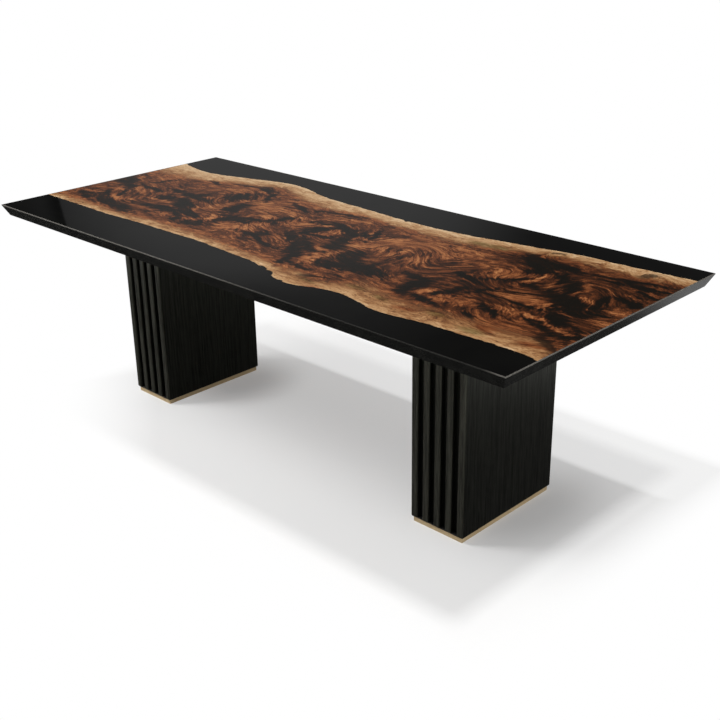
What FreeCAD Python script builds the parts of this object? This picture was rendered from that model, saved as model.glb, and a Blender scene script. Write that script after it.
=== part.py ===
import FreeCAD, Part
import os
import re

import Sketcher
from FreeCAD import Placement, Rotation, Vector

# Driving dimensions, in millimetres
SIZES = {
    # Table as a whole
    "table_height": 770,
    "top_length": 2400,
    "top_width": 1050,
    "top_thickness": 42,
    # Undercut edge of the top
    "bevel_run": 20,
    "lip_height": 3,
    "strip_thickness": 3,
    "arris_radius": 1.2,
    # Live edges: the slab's underside reaches further out than its face
    "live_edge_flare": 12,
    # Stiffening channels let into the underside of the slab
    "channel_end_distance": 190,
    "channel_length": 560,
    "channel_width": 40,
    "channel_depth": 14,
    "channel_wall": 3,
    "channel_clearance": 0.3,
    "channel_slot_travel": 6,
    "channel_bolt_row": 480,
    "channel_bolt_radius": 3,
    "channel_bolt_length": 14,
    "channel_bolt_head_radius": 6,
    "channel_bolt_head_height": 3.3,
    "channel_insert_radius": 5,
    "channel_insert_length": 13,
    # Pedestals
    "end_overhang": 353,
    "pedestal_thickness": 214,
    "pedestal_length": 464,
    "panel_thickness": 28,
    "panel_edge_radius": 9,
    "slat_width": 26,
    "slat_depth": 20,
    "slat_edge_radius": 6,
    "groove_depth": 4,
    "groove_clearance": 0.1,
    "backing_thickness": 18,
    "top_board_thickness": 25,
    # Bolts that hold the top on the pedestals
    "top_bolt_spacing": 88,
    "top_bolt_row": 240,
    "top_bolt_radius": 4,
    "top_bolt_length": 42,
    "top_bolt_head_radius": 9,
    "top_bolt_head_height": 6,
    "top_insert_radius": 7,
    "top_insert_length": 22,
    # Steel base plates and the screws up into the panels
    "plate_thickness": 4,
    "plate_inset": 4,
    "access_width": 60,
    "access_length": 240,
    "base_screw_end_distance": 72,
    "base_screw_radius": 2.5,
    "base_screw_head_radius": 5,
    "base_screw_head_height": 2.4,
    "base_screw_length": 45,
    # Brass plinth frames
    "plinth_height": 18,
    "plinth_inset": 7.5,
    "plinth_bar": 14,
    "plinth_corner_radius": 2,
    "plinth_screw_row": 150,
    "plinth_screw_radius": 2,
    "plinth_screw_head_radius": 4,
    "plinth_screw_head_height": 1.9,
    # Levelling feet
    "foot_side_distance": 57,
    "foot_end_distance": 57,
    "foot_lift": 0.4,
    "pad_radius": 18,
    "pad_rim": 4,
    "pad_hub_radius": 13,
    "pad_height": 9,
    "pad_floor": 3,
    "stem_radius": 5,
    "stem_length": 50,
    "stem_disc_radius": 8,
    "stem_disc_height": 2.5,
    "collar_width": 14,
    "collar_height": 5,
    "nut_radius": 10,
    "nut_height": 10,
    # Fits
    "bolt_clearance": 0.4,
    "thread_clearance": 0.1,
    "foot_clearance": 0.3,
    "overrun": 5,
}

# Live edges of the slab, as shares of half the length and half the width
BACK_EDGE_SHARES = (
    (-1.00, 0.684), (-0.92, 0.634), (-0.86, 0.614), (-0.79, 0.622), (-0.72, 0.660), (-0.62, 0.724),
    (-0.54, 0.778), (-0.46, 0.795), (-0.39, 0.768), (-0.31, 0.710), (-0.22, 0.678), (-0.10, 0.662),
    (0.03, 0.635), (0.20, 0.623), (0.33, 0.646), (0.44, 0.686), (0.54, 0.722), (0.64, 0.764),
    (0.78, 0.777), (0.90, 0.792), (1.00, 0.806),
)
FRONT_EDGE_SHARES = (
    (-1.00, -0.617), (-0.80, -0.623), (-0.66, -0.629), (-0.50, -0.613), (-0.30, -0.610),
    (-0.20, -0.608), (-0.12, -0.625), (-0.03, -0.641), (0.05, -0.656), (0.11, -0.705), (0.16, -0.750),
    (0.22, -0.782), (0.27, -0.772), (0.33, -0.722), (0.40, -0.704), (0.46, -0.730), (0.53, -0.766),
    (0.59, -0.762), (0.66, -0.738), (0.78, -0.728), (0.90, -0.720), (0.96, -0.728), (1.00, -0.752),
)

# How many of each repeated piece, and how many flats the small turned pieces and their holes have
PEDESTAL_COUNT = 2
PAIR_COUNT = 2
SLATS_PER_END = 3
CHANNEL_BOLTS = 4
PANEL_SCREWS = 3
HEXAGON_SIDES = 6
FASTENER_SIDES = 8
FOOT_SIDES = 12

# Heights and widths that several pieces share
UNDERSIDE = "(table_height - top_thickness)"
CARCASS_FOOT = "(plinth_height + plate_thickness)"
CARCASS_HEIGHT = f"({UNDERSIDE} - {CARCASS_FOOT})"
CHANNEL_REACH = "(top_length / 2 - channel_end_distance)"
PEDESTAL_REACH = "(top_length / 2 - end_overhang - pedestal_thickness / 2)"
INNER_WIDTH = "(pedestal_thickness - 2 * panel_thickness)"
SLAT_GAP = f"(({INNER_WIDTH} - {SLATS_PER_END} * slat_width) / {SLATS_PER_END + 1})"
SLAT_PITCH = f"(slat_width + {SLAT_GAP})"
BACKING_SETBACK = "(slat_depth - groove_depth)"
FOOT_SPACING = "(pedestal_thickness - 2 * foot_side_distance)"
FOOT_ROW = "(pedestal_length - 2 * foot_end_distance)"
BASE_SCREW_ROW = "(pedestal_length - 2 * base_screw_end_distance)"
INNER_LENGTH = f"(pedestal_length - 2 * {BACKING_SETBACK} - 2 * backing_thickness)"
PANEL_CENTRE = "(pedestal_thickness / 2 - panel_thickness / 2)"
PLINTH_WIDTH = "(pedestal_thickness - 2 * plinth_inset)"
PLINTH_LENGTH = "(pedestal_length - 2 * plinth_inset)"
PLINTH_BAR_CENTRE = f"({PLINTH_WIDTH} / 2 - plinth_bar / 2)"
STEM_FOOT = "(foot_lift + pad_floor + foot_clearance)"

SKETCH_ORIGIN = (-1, 1)
START_INDEX, END_INDEX = 1, 2
FULL_TURN = 360
COUNTERSINK_SLOPE = 45

doc = FreeCAD.newDocument("resin_dining_table")
sheet = doc.addObject("Spreadsheet::Sheet", "sizes")
for row, (alias, size) in enumerate(SIZES.items(), start=1):
    sheet.set(f"A{row}", str(size))
    sheet.setAlias(f"A{row}", alias)
doc.recompute()

nodes = []
cuts = []


def formula(text):
    """Turn the names of sizes in a sum into references to the sheet."""
    return re.sub(r"[a-z_]+", lambda word: f"sizes.{word[0]}" if word[0] in SIZES else word[0], text)


def measure(text):
    """Work out a sum of sizes in millimetres."""
    return float(sheet.evalExpression(formula(text)))


def bind(thing, path, text):
    """Tie one property of a document object to a sum of sizes."""
    thing.setExpression(path, formula(text))


def place(thing, x="0", y="0", z="0", turn=0):
    """Stand a piece at a place given in sizes, turned about the upright axis by a number of degrees."""
    thing.Placement = Placement(Vector(), Rotation(Vector(0, 0, 1), turn))
    for axis, text in zip("xyz", (x, y, z)):
        bind(thing, f"Placement.Base.{axis}", text)


def keep(thing, label):
    """Name a finished piece and list it for the hand-over."""
    thing.Label = label
    nodes.append(thing)
    return thing


def origin_feature(body, role):
    return next(feature for feature in body.Origin.OriginFeatures if feature.Role == role)


def new_body(name):
    return doc.addObject("PartDesign::Body", name)


def new_sketch(body, name, role="XY_Plane", rise="0"):
    """An empty sketch on one of the body's own planes, lifted off it by a sum of sizes."""
    sketch = body.newObject("Sketcher::SketchObject", name)
    sketch.AttachmentSupport = (origin_feature(body, role), [""])
    sketch.MapMode = "FlatFace"
    bind(sketch, "AttachmentOffset.Base.z", rise)
    return sketch


def draw_outline(sketch, corners):
    """Draw a closed outline of straight lines, each corner held at two sums of sizes from the origin."""
    spots = [Vector(measure(x), measure(y), 0) for x, y in corners]
    followers = spots[1:] + spots[:1]
    lines = sketch.addGeometry([Part.LineSegment(*ends) for ends in zip(spots, followers)], False)
    ties = []
    for line, following in zip(lines, lines[1:] + lines[:1]):
        ties.append(Sketcher.Constraint("Coincident", line, END_INDEX, following, START_INDEX))
    sketch.addConstraint(ties)
    for kind, axis in (("DistanceX", 0), ("DistanceY", 1)):
        distances = [Sketcher.Constraint(kind, *SKETCH_ORIGIN, line, START_INDEX, spot[axis])
                     for line, spot in zip(lines, spots)]
        for number, corner in zip(sketch.addConstraint(distances), corners):
            bind(sketch, f"Constraints[{number}]", corner[axis])


def draw_rectangle(sketch, width, depth, x="0", y="0"):
    """Draw a rectangle about a middle point."""
    left, right = f"({x}) - ({width}) / 2", f"({x}) + ({width}) / 2"
    near, far = f"({y}) - ({depth}) / 2", f"({y}) + ({depth}) / 2"
    draw_outline(sketch, ((left, near), (right, near), (right, far), (left, far)))


def round_about(radius, sides):
    """Radius to the corners of a regular hole that a round of another radius can turn in."""
    return f"(({radius}) / cos({FULL_TURN / sides / 2}deg))"


def draw_regular(sketch, radius, sides, x="0", y="0"):
    """Draw a regular outline about a middle point, with its corners at a radius."""
    corners = []
    for number in range(sides):
        angle = (number + 0.5) * FULL_TURN / sides
        corners.append((f"({x}) + ({radius}) * cos({angle}deg)", f"({y}) + ({radius}) * sin({angle}deg)"))
    draw_outline(sketch, corners)


def draw_holes(sketch, spots, radius, sides=FASTENER_SIDES):
    """Draw equal holes at places given in sizes."""
    for x, y in spots:
        draw_regular(sketch, radius, sides, x, y)


def pad(body, sketch, length, slope=0):
    """Raise a sketch, with sides that lean in by a number of degrees."""
    feature = body.newObject("PartDesign::Pad", "pad")
    feature.Profile = sketch
    feature.TaperAngle = -slope
    bind(feature, "Length", length)
    return feature


def pocket_upward(body, sketch, depth=None, slope=0):
    """Cut a sketch upward into the body, to a depth or right through."""
    feature = body.newObject("PartDesign::Pocket", "pocket")
    feature.Profile = sketch
    feature.Reversed = True
    feature.TaperAngle = -slope
    if depth is None:
        feature.Type = "ThroughAll"
    else:
        bind(feature, "Length", depth)
    cuts.append(feature)
    return feature


def countersunk_upward(body, spots, radius, head_radius, head_height):
    """Drill countersunk holes upward through the body, with their heads on its underside."""
    shanks = new_sketch(body, "shank_holes")
    draw_holes(shanks, spots, radius)
    pocket_upward(body, shanks)
    heads = new_sketch(body, "head_holes")
    draw_holes(heads, spots, head_radius)
    return pocket_upward(body, heads, head_height, COUNTERSINK_SLOPE)


def round_edges(body, feature, radius, wanted):
    """Round those straight edges of a feature that a test picks by their middle and direction."""
    doc.recompute()
    names = []
    for number, edge in enumerate(feature.Shape.Edges, start=1):
        run = edge.Vertexes[-1].Point - edge.Vertexes[0].Point
        if wanted(edge.CenterOfMass, run):
            names.append(f"Edge{number}")
    rounding = body.newObject("PartDesign::Fillet", "rounding")
    rounding.Base = (feature, names)
    bind(rounding, "Radius", radius)
    return rounding


def is_upright(run):
    return abs(run.z) > abs(run.x) + abs(run.y)


def prism(body, outlines, foot, height, slope=0):
    """Raise a regular outline, or the ring between two, from a level to a height above it."""
    sketch = new_sketch(body, "outline", rise=foot)
    for radius, sides in outlines:
        draw_regular(sketch, radius, sides)
    return pad(body, sketch, height, slope)


def stack(body, levels):
    """Build a small turned piece as a stack of few-sided prisms."""
    return [prism(body, *level) for level in levels]


def group(name, levels, first, steps):
    """Equal small pieces in rows: the levels of one, the place of the first, and the rows."""
    body = new_body(name)
    originals = stack(body, levels)
    rows = body.newObject("PartDesign::MultiTransform", "rows")
    rows.Originals = originals
    patterns = []
    for axis, length, count in steps:
        pattern = body.newObject("PartDesign::LinearPattern", "row")
        pattern.Direction = (origin_feature(body, f"{axis}_Axis"), [""])
        bind(pattern, "Length", length)
        pattern.Occurrences = count
        patterns.append(pattern)
    rows.Transformations = patterns
    body.Tip = rows
    place(body, *first)
    return body


def plain_pin(radius, height):
    """Levels of a plain pin standing on its foot."""
    return ((((radius, FASTENER_SIDES),), "0", height),)


def headed_bolt(radius, length, head_radius, head_height):
    """Levels of a bolt whose head hangs under the height at which its shank starts."""
    return ((((head_radius, FASTENER_SIDES),), f"-{head_height}", head_height),
            (((radius, FASTENER_SIDES),), "0", length))


def countersunk_screw(radius, length, head_radius, head_height):
    """Levels of a screw with a countersunk head at its foot."""
    return ((((head_radius, FASTENER_SIDES),), "0", head_height, COUNTERSINK_SLOPE),
            (((radius, FASTENER_SIDES),), "0", length))


def sleeve(bore, radius, height):
    """Levels of a threaded insert standing on its foot."""
    return ((((radius, FASTENER_SIDES), (bore, FASTENER_SIDES)), "0", height),)


def cut(name, base, tool):
    feature = doc.addObject("Part::Cut", name)
    feature.Base = base
    feature.Tool = tool
    return feature


def common(name, base, tool):
    feature = doc.addObject("Part::Common", name)
    feature.Base = base
    feature.Tool = tool
    return feature


# Blank of the top: a plate with all four sides undercut, inside the edge strips
def undercut_blank():
    blank = doc.addObject("Part::Wedge", "top_blank")
    half_length = "top_length / 2 - strip_thickness"
    half_width = "top_width / 2 - strip_thickness"
    for low, high, half in (("X2min", "X2max", half_length), ("Z2min", "Z2max", half_width)):
        bind(blank, low, f"-({half})")
        bind(blank, high, half)
    for low, high, half in (("Xmin", "Xmax", half_length), ("Zmin", "Zmax", half_width)):
        bind(blank, low, f"-({half} - bevel_run)")
        bind(blank, high, f"{half} - bevel_run")
    bind(blank, "Ymin", "0")
    bind(blank, "Ymax", "top_thickness")
    blank.Placement = Placement(Vector(), Rotation(Vector(1, 0, 0), FULL_TURN / 4))
    bind(blank, "Placement.Base.z", UNDERSIDE)
    return blank


# The sawn board with its two natural edges, longer than the finished top
def live_edge_board():
    body = new_body("sawn_board")

    def draw_section(sketch, flare):
        half_length, half_width = measure("top_length / 2"), measure("top_width / 2")
        edges = []
        for shares, outward in ((FRONT_EDGE_SHARES, -1), (BACK_EDGE_SHARES, 1)):
            spots = [Vector(x * half_length, y * half_width + outward * flare, 0) for x, y in shares]
            edge = Part.BSplineCurve()
            edge.interpolate(spots)
            sketch.addGeometry(edge, False)
            edges.append(spots)
        front, back = edges
        sketch.addGeometry(Part.LineSegment(front[0], back[0]), False)
        sketch.addGeometry(Part.LineSegment(front[-1], back[-1]), False)

    underside = new_sketch(body, "underside_outline")
    draw_section(underside, measure("live_edge_flare"))
    face = new_sketch(body, "face_outline", rise="top_thickness")
    draw_section(face, 0)
    board = body.newObject("PartDesign::AdditiveLoft", "board")
    board.Profile = underside
    board.Sections = [face]
    board.Ruled = True
    place(body, z=UNDERSIDE)
    return body


# C-shaped channel section along Y, web down, with room round it for the slot that it lies in
def channel_body(name, room="0"):
    body = new_body(name)
    half = f"(channel_width / 2 + {room})"
    inner = f"(channel_width / 2 - channel_wall - {room})"
    top = f"(channel_depth + {room})"
    length = f"(channel_length + 2 * {room})"
    sketch = new_sketch(body, "section", "XZ_Plane", f"-{length} / 2")
    draw_outline(sketch, ((f"-{half}", "0"), (half, "0"), (half, top), (inner, top),
                          (inner, "channel_wall"), (f"-{inner}", "channel_wall"),
                          (f"-{inner}", top), (f"-{half}", top)))
    pad(body, sketch, length)
    return body


def stiffener(side, x):
    body = channel_body(f"{side}_stiffener")
    slots = new_sketch(body, "bolt_slots", rise="-overrun")
    for number in range(CHANNEL_BOLTS):
        share = number / (CHANNEL_BOLTS - 1) - 0.5
        width = "2 * (channel_bolt_radius + bolt_clearance)"
        draw_rectangle(slots, width, f"{width} + channel_slot_travel", y=f"{share} * channel_bolt_row")
    pocket_upward(body, slots, "overrun + channel_wall")
    place(body, x=x, z=UNDERSIDE)
    return keep(body, f"{side}_stiffener")


channel_places = {"left": f"-{CHANNEL_REACH}", "middle": "0", "right": CHANNEL_REACH}
channel_rows = (("X", f"2 * {CHANNEL_REACH}", len(channel_places)),
                ("Y", "channel_bolt_row", CHANNEL_BOLTS))
channel_row_start = (f"-{CHANNEL_REACH}", "-channel_bolt_row / 2")
insert_level = f"{UNDERSIDE} + channel_wall"
pedestal_pair = ("X", f"2 * {PEDESTAL_REACH}", PEDESTAL_COUNT)
top_bolt_rows = (pedestal_pair, ("X", "top_bolt_spacing", PAIR_COUNT), ("Y", "top_bolt_row", PAIR_COUNT))
top_bolt_start = (f"-{PEDESTAL_REACH} - top_bolt_spacing / 2", "-top_bolt_row / 2")

# Walnut slab: the sawn board trimmed to the blank, slotted and drilled on its underside
blank = undercut_blank()
board = live_edge_board()
trimmed = common("trimmed_board", board, blank)
slab_cuts = doc.addObject("Part::Compound", "slab_cuts")
cutters = []
for side, x in channel_places.items():
    slot = channel_body(f"{side}_channel_slot", "channel_clearance")
    place(slot, x=x, z=UNDERSIDE)
    cutters.append(slot)
cutters.append(group("channel_insert_holes",
                            plain_pin("channel_insert_radius", "channel_insert_length"),
                            (*channel_row_start, insert_level), channel_rows))
cutters.append(group("top_insert_holes", plain_pin("top_insert_radius", "top_insert_length"),
                            (*top_bolt_start, UNDERSIDE), top_bolt_rows))
slab_cuts.Links = cutters
keep(cut("walnut_slab", trimmed, slab_cuts), "walnut_slab")

# Black resin castings: what is left of the blank in front of and behind the board
for side, start in (("front", "-top_width / 2"), ("back", "0")):
    half = doc.addObject("Part::Box", f"{side}_half")
    bind(half, "Length", "top_length")
    bind(half, "Width", "top_width / 2")
    bind(half, "Height", "top_thickness")
    place(half, "-top_length / 2", start, UNDERSIDE)
    keep(cut(f"{side}_resin", common(f"{side}_half_blank", blank, half), board), f"{side}_resin")


# Edge strip: lip and undercut bevel in one section, mitred at both ends
def edge_strip(side, length, x, y, turn):
    body = new_body(f"{side}_edge_strip")
    section = new_sketch(body, "section", "YZ_Plane", f"-{length} / 2")
    draw_outline(section, (("0", "0"), ("0", "-lip_height"), ("bevel_run", "-top_thickness"),
                           ("bevel_run + strip_thickness", "-top_thickness"), ("strip_thickness", "0")))
    strip = pad(body, section, length)
    half_arris = measure("arris_radius") / 2
    round_edges(body, strip, "arris_radius",
                lambda middle, run: abs(middle.y) < half_arris and abs(middle.z) < half_arris
                and abs(run.x) > 0)
    mitres = new_sketch(body, "mitres", rise="-top_thickness - overrun")
    deep = "(bevel_run + strip_thickness + overrun)"
    for sign in ("-", ""):
        draw_outline(mitres, ((f"{sign}({length} / 2 + overrun)", "-overrun"),
                              (f"{sign}({length} / 2 + overrun)", deep),
                              (f"{sign}({length} / 2 - {deep})", deep)))
    pocket_upward(body, mitres)
    place(body, x, y, "table_height", turn)
    return keep(body, f"{side}_edge_strip")


edge_strip("front", "top_length", "0", "-top_width / 2", 0)
edge_strip("right", "top_width", "top_length / 2", "0", 90)
edge_strip("back", "top_length", "0", "top_width / 2", 180)
edge_strip("left", "top_width", "-top_length / 2", "0", 270)

# Stiffening channels with their bolts and inserts
for side, x in channel_places.items():
    stiffener(side, x)
keep(group("stiffener_bolts",
                  headed_bolt("channel_bolt_radius", "channel_bolt_length",
                              "channel_bolt_head_radius", "channel_bolt_head_height"),
                  (*channel_row_start, UNDERSIDE), channel_rows), "stiffener_bolts")
keep(group("stiffener_inserts",
                  sleeve("channel_bolt_radius + thread_clearance", "channel_insert_radius",
                         "channel_insert_length"),
                  (*channel_row_start, insert_level), channel_rows), "stiffener_inserts")

# Bolts up through the pedestals' top boards and their inserts in the slab
keep(group("top_bolts",
                  headed_bolt("top_bolt_radius", "top_bolt_length",
                              "top_bolt_head_radius", "top_bolt_head_height"),
                  (*top_bolt_start, f"{UNDERSIDE} - top_board_thickness"), top_bolt_rows), "top_bolts")
keep(group("top_inserts",
                  sleeve("top_bolt_radius + thread_clearance", "top_insert_radius", "top_insert_length"),
                  (*top_bolt_start, UNDERSIDE), top_bolt_rows), "top_inserts")

# Places round a pedestal's middle where screws and feet stand
base_screw_spots = [(f"{sign}{PANEL_CENTRE}", f"{number / (PANEL_SCREWS - 1) - 0.5} * {BASE_SCREW_ROW}")
                    for sign in ("-", "") for number in range(PANEL_SCREWS)]
plinth_screw_spots = [(f"{across}{PLINTH_BAR_CENTRE}", f"{along}plinth_screw_row / 2")
                      for across in ("-", "") for along in ("-", "")]
foot_spots = [(f"{across}{FOOT_SPACING} / 2", f"{along}{FOOT_ROW} / 2")
              for across in ("-", "") for along in ("-", "")]
top_bolt_spots = [(f"{across}top_bolt_spacing / 2", f"{along}top_bolt_row / 2")
                  for across in ("-", "") for along in ("-", "")]


# Broad panel with all four upright edges rounded and pilot holes for the base screws
def broad_panel(label, x):
    body = new_body(label)
    section = new_sketch(body, "section")
    draw_rectangle(section, "panel_thickness", "pedestal_length")
    round_edges(body, pad(body, section, CARCASS_HEIGHT), "panel_edge_radius",
                lambda middle, run: is_upright(run))
    pilots = new_sketch(body, "pilot_holes")
    spots = [("0", y) for across, y in base_screw_spots[:PANEL_SCREWS]]
    draw_holes(pilots, spots, "base_screw_radius")
    pocket_upward(body, pilots, "base_screw_length - plate_thickness")
    place(body, x, "0", CARCASS_FOOT)
    return keep(body, label)


# Slat of the fluted end: rounded in front, square where it is glued into its groove
def slat(label, x, y, turn):
    body = new_body(label)
    section = new_sketch(body, "section")
    draw_rectangle(section, "slat_width", "slat_depth", y="slat_depth / 2")
    half_depth = measure("slat_depth / 2")
    round_edges(body, pad(body, section, CARCASS_HEIGHT), "slat_edge_radius",
                lambda middle, run: is_upright(run) and middle.y < half_depth)
    place(body, x, y, CARCASS_FOOT, turn)
    return keep(body, label)


# Backing board with a groove for each slat
def backing(label, x, y, turn, slat_places):
    body = new_body(label)
    section = new_sketch(body, "section")
    draw_rectangle(section, INNER_WIDTH, "backing_thickness", y="backing_thickness / 2")
    pad(body, section, CARCASS_HEIGHT)
    grooves = new_sketch(body, "grooves")
    width = "slat_width + 2 * groove_clearance"
    for spot in slat_places:
        draw_rectangle(grooves, width, "groove_depth + overrun", spot, "(groove_depth - overrun) / 2")
    pocket_upward(body, grooves)
    place(body, x, y, CARCASS_FOOT, turn)
    return keep(body, label)


def top_board(label, x):
    body = new_body(label)
    section = new_sketch(body, "section")
    draw_rectangle(section, INNER_WIDTH, INNER_LENGTH)
    pad(body, section, "top_board_thickness")
    holes = new_sketch(body, "bolt_holes")
    draw_holes(holes, top_bolt_spots, "top_bolt_radius + bolt_clearance")
    pocket_upward(body, holes)
    place(body, x, "0", f"{UNDERSIDE} - top_board_thickness")
    return keep(body, label)


# Base plate: the panels are screwed to it from below, and the top bolts are reached through its middle
def base_plate(label, x):
    body = new_body(label)
    section = new_sketch(body, "section")
    draw_rectangle(section, "pedestal_thickness - 2 * plate_inset", "pedestal_length - 2 * plate_inset")
    pad(body, section, "plate_thickness")
    access = new_sketch(body, "access_opening")
    draw_rectangle(access, "access_width", "access_length")
    pocket_upward(body, access)
    stem_holes = new_sketch(body, "stem_holes")
    draw_holes(stem_holes, foot_spots, "stem_radius + foot_clearance + bolt_clearance", FOOT_SIDES)
    pocket_upward(body, stem_holes)
    tapped = new_sketch(body, "plinth_screw_holes")
    draw_holes(tapped, plinth_screw_spots, "plinth_screw_radius + thread_clearance")
    pocket_upward(body, tapped)
    countersunk_upward(body, base_screw_spots, "base_screw_radius + bolt_clearance",
                       "base_screw_head_radius", "base_screw_head_height")
    place(body, x, "0", "plinth_height")
    return keep(body, label)


# Plinth: a frame of brass bar with eased corners, screwed to the base plate from below
def plinth(label, x):
    body = new_body(label)
    section = new_sketch(body, "section")
    draw_rectangle(section, PLINTH_WIDTH, PLINTH_LENGTH)
    round_edges(body, pad(body, section, "plinth_height"), "plinth_corner_radius",
                lambda middle, run: is_upright(run))
    hollow = new_sketch(body, "hollow")
    draw_rectangle(hollow, f"{PLINTH_WIDTH} - 2 * plinth_bar", f"{PLINTH_LENGTH} - 2 * plinth_bar")
    pocket_upward(body, hollow)
    countersunk_upward(body, plinth_screw_spots, "plinth_screw_radius + bolt_clearance",
                       "plinth_screw_head_radius", "plinth_screw_head_height")
    place(body, x)
    return keep(body, label)


# Swivel pad: a stepped foot whose socket traps the disc at the stem's end
def foot_pad(label, x, y):
    body = new_body(label)
    stack(body, (((("pad_radius", FOOT_SIDES),), "0", "pad_rim"),
                 ((("pad_hub_radius", FOOT_SIDES),), "0", "pad_height")))
    socket_height = "stem_disc_height + 2 * foot_clearance"
    socket = new_sketch(body, "socket", rise="pad_floor")
    draw_regular(socket, round_about("stem_disc_radius + foot_clearance", FOOT_SIDES), FOOT_SIDES)
    pocket_upward(body, socket, socket_height)
    mouth = new_sketch(body, "mouth", rise=f"pad_floor + {socket_height}")
    draw_regular(mouth, round_about("stem_radius + foot_clearance", FOOT_SIDES), FOOT_SIDES)
    pocket_upward(body, mouth)
    place(body, x, y, "foot_lift")
    return keep(body, label)


# Threaded stem: a disc that the pad traps, a hexagon collar for the spanner, and the shank
def foot_stem(label, x, y):
    body = new_body(label)
    stack(body, (((("stem_radius", FOOT_SIDES),), "0", "stem_length"),
                 ((("stem_disc_radius", FOOT_SIDES),), "0", "stem_disc_height"),
                 ((("collar_width / sqrt(3)", HEXAGON_SIDES),), "pad_height - pad_floor", "collar_height")))
    place(body, x, y, STEM_FOOT)
    return keep(body, label)


# The two pedestals
slat_offsets = [f"({number - (SLATS_PER_END - 1) / 2} * {SLAT_PITCH})" for number in range(SLATS_PER_END)]
for side, outward in (("left", "-"), ("right", "")):
    middle = f"({outward}{PEDESTAL_REACH})"
    broad_panel(f"{side}_outer_panel", f"{middle} + {outward}{PANEL_CENTRE}")
    broad_panel(f"{side}_inner_panel", f"{middle} - {outward}{PANEL_CENTRE}")
    for end, toward, turn in (("front", "-", 0), ("back", "", 180)):
        face = f"{toward}pedestal_length / 2"
        board_face = f"{toward}(pedestal_length / 2 - {BACKING_SETBACK})"
        backing(f"{side}_{end}_backing", middle, board_face, turn, slat_offsets)
        for number, offset in enumerate(slat_offsets, start=1):
            slat(f"{side}_{end}_slat_{number}", f"{middle} + {offset}", face, turn)
    top_board(f"{side}_top_board", middle)
    base_plate(f"{side}_base_plate", middle)
    plinth(f"{side}_plinth", middle)
    for number, (x, y) in enumerate(foot_spots, start=1):
        foot_pad(f"{side}_foot_pad_{number}", f"{middle} + {x}", y)
        foot_stem(f"{side}_foot_stem_{number}", f"{middle} + {x}", y)

# Screws and nuts of both pedestals
keep(group("base_screws",
                  countersunk_screw("base_screw_radius", "base_screw_length",
                                    "base_screw_head_radius", "base_screw_head_height"),
                  (f"-{PEDESTAL_REACH} - {PANEL_CENTRE}", f"-{BASE_SCREW_ROW} / 2", "plinth_height"),
                  (pedestal_pair, ("X", f"2 * {PANEL_CENTRE}", PAIR_COUNT),
                   ("Y", BASE_SCREW_ROW, PANEL_SCREWS))), "base_screws")
keep(group("plinth_screws",
                  countersunk_screw("plinth_screw_radius", CARCASS_FOOT,
                                    "plinth_screw_head_radius", "plinth_screw_head_height"),
                  (f"-{PEDESTAL_REACH} - {PLINTH_BAR_CENTRE}", "-plinth_screw_row / 2", "0"),
                  (pedestal_pair, ("X", f"2 * {PLINTH_BAR_CENTRE}", PAIR_COUNT),
                   ("Y", "plinth_screw_row", PAIR_COUNT))), "plinth_screws")
nut_outlines = (("nut_radius", HEXAGON_SIDES),
                (round_about("stem_radius + foot_clearance", FOOT_SIDES), FOOT_SIDES))
keep(group("leveller_nuts",
                  ((nut_outlines, "0", "nut_height"),),
                  (f"-{PEDESTAL_REACH} - {FOOT_SPACING} / 2", f"-{FOOT_ROW} / 2", CARCASS_FOOT),
                  (pedestal_pair, ("X", FOOT_SPACING, PAIR_COUNT), ("Y", FOOT_ROW, PAIR_COUNT))),
     "leveller_nuts")

# Make sure that every feature and every piece came out whole, then write the pieces
doc.recompute()
for thing in doc.Objects:
    if "Invalid" in thing.State or "Error" in thing.State:
        raise RuntimeError(f"{thing.Name} could not be built: {thing.State}")
for feature in cuts:
    if not feature.Shape.Volume < feature.BaseFeature.Shape.Volume:
        raise RuntimeError(f"{feature.Name} removes nothing")
for node in nodes:
    if node.Shape.isNull() or not node.Shape.isValid() or not node.Shape.Solids:
        raise RuntimeError(f"{node.Label} is not a sound solid")
os.makedirs("parts", exist_ok=True)
for node in nodes:
    node.Shape.exportStep(f"parts/{node.Label}.step")
print(f"{len(nodes)} nodes")
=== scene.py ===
import math

import bpy
from mathutils import Matrix, Vector


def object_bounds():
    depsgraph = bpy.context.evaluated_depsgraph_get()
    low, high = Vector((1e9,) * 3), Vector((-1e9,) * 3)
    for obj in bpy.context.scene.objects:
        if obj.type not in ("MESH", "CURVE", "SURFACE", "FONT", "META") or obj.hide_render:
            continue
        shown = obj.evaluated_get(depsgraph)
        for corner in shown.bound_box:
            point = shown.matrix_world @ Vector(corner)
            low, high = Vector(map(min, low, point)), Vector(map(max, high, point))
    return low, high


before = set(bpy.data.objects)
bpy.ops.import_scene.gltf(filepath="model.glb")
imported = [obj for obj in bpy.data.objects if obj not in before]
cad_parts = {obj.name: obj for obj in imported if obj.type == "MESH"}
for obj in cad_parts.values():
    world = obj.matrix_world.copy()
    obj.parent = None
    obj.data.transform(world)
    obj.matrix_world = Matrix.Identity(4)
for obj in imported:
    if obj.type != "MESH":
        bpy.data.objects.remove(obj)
cad_low, cad_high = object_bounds()

# Walnut slab
# One sawn board of burr-figured walnut with pale sapwood along both natural edges, planed flat,
# cast between the two resin borders and finished with a clear satin coat.
half_length = (cad_high.x - cad_low.x) / 2
half_width = (cad_high.y - cad_low.y) / 2

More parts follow.
